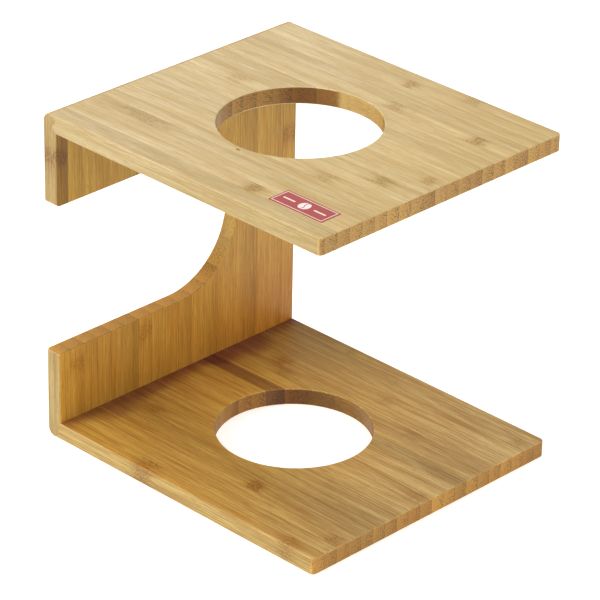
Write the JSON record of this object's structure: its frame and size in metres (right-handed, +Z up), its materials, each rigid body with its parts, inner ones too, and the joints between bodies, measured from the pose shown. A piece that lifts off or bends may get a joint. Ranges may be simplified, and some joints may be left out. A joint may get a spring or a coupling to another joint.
{
  "type": "pour-over dripper stand",
  "caption": "C-shaped bamboo stand for pour-over coffee: a round hole in the shelf holds the dripper above a cup or server on the base, with a slot in the upright.",
  "frame": {"origin": "under the middle of the stand, on the surface it stands on", "axes": "+X from the upright to the free ends of the shelf and base, -Y the front with the slot's mouth, +Z up"},
  "size_m": [0.182, 0.16, 0.1732],
  "materials": {
    "shelf_bamboo": "satin",
    "base_bamboo": "satin",
    "upright_bamboo": "satin",
    "label": "matte"
  },
  "bodies": {
    "root": {"shelf_strip_01": "shelf_bamboo", "shelf_strip_02": "shelf_bamboo", "shelf_strip_03": "shelf_bamboo", "shelf_strip_04": "shelf_bamboo", "shelf_strip_05": "shelf_bamboo", "shelf_strip_06": "shelf_bamboo", "shelf_strip_07": "shelf_bamboo", "shelf_strip_08": "shelf_bamboo", "shelf_strip_09": "shelf_bamboo", "shelf_strip_10": "shelf_bamboo", "shelf_strip_11": "shelf_bamboo", "shelf_strip_12": "shelf_bamboo", "shelf_strip_13": "shelf_bamboo", "shelf_strip_14": "shelf_bamboo", "shelf_strip_15": "shelf_bamboo", "shelf_strip_16": "shelf_bamboo", "shelf_strip_17": "shelf_bamboo", "shelf_strip_18": "shelf_bamboo", "shelf_strip_19": "shelf_bamboo", "shelf_strip_20": "shelf_bamboo", "shelf_strip_21": "shelf_bamboo", "base_strip_01": "base_bamboo", "base_strip_02": "base_bamboo", "base_strip_03": "base_bamboo", "base_strip_04": "base_bamboo", "base_strip_05": "base_bamboo", "base_strip_06": "base_bamboo", "base_strip_07": "base_bamboo", "base_strip_08": "base_bamboo", "base_strip_09": "base_bamboo", "base_strip_10": "base_bamboo", "base_strip_11": "base_bamboo", "base_strip_12": "base_bamboo", "base_strip_13": "base_bamboo", "base_strip_14": "base_bamboo", "base_strip_15": "base_bamboo", "base_strip_16": "base_bamboo", "base_strip_17": "base_bamboo", "base_strip_18": "base_bamboo", "base_strip_19": "base_bamboo", "base_strip_20": "base_bamboo", "upright_strip_01": "upright_bamboo", "upright_strip_02": "upright_bamboo", "upright_strip_03": "upright_bamboo", "upright_strip_04": "upright_bamboo", "upright_strip_05": "upright_bamboo", "upright_strip_06": "upright_bamboo", "upright_strip_07": "upright_bamboo", "upright_strip_08": "upright_bamboo", "upright_strip_09": "upright_bamboo", "upright_strip_10": "upright_bamboo", "upright_strip_11": "upright_bamboo", "upright_strip_12": "upright_bamboo", "upright_strip_13": "upright_bamboo", "upright_strip_14": "upright_bamboo", "upright_strip_15": "upright_bamboo", "upright_strip_16": "upright_bamboo", "upright_strip_17": "upright_bamboo", "upright_strip_18": "upright_bamboo", "label": "label"}
  },
  "joints": []
}
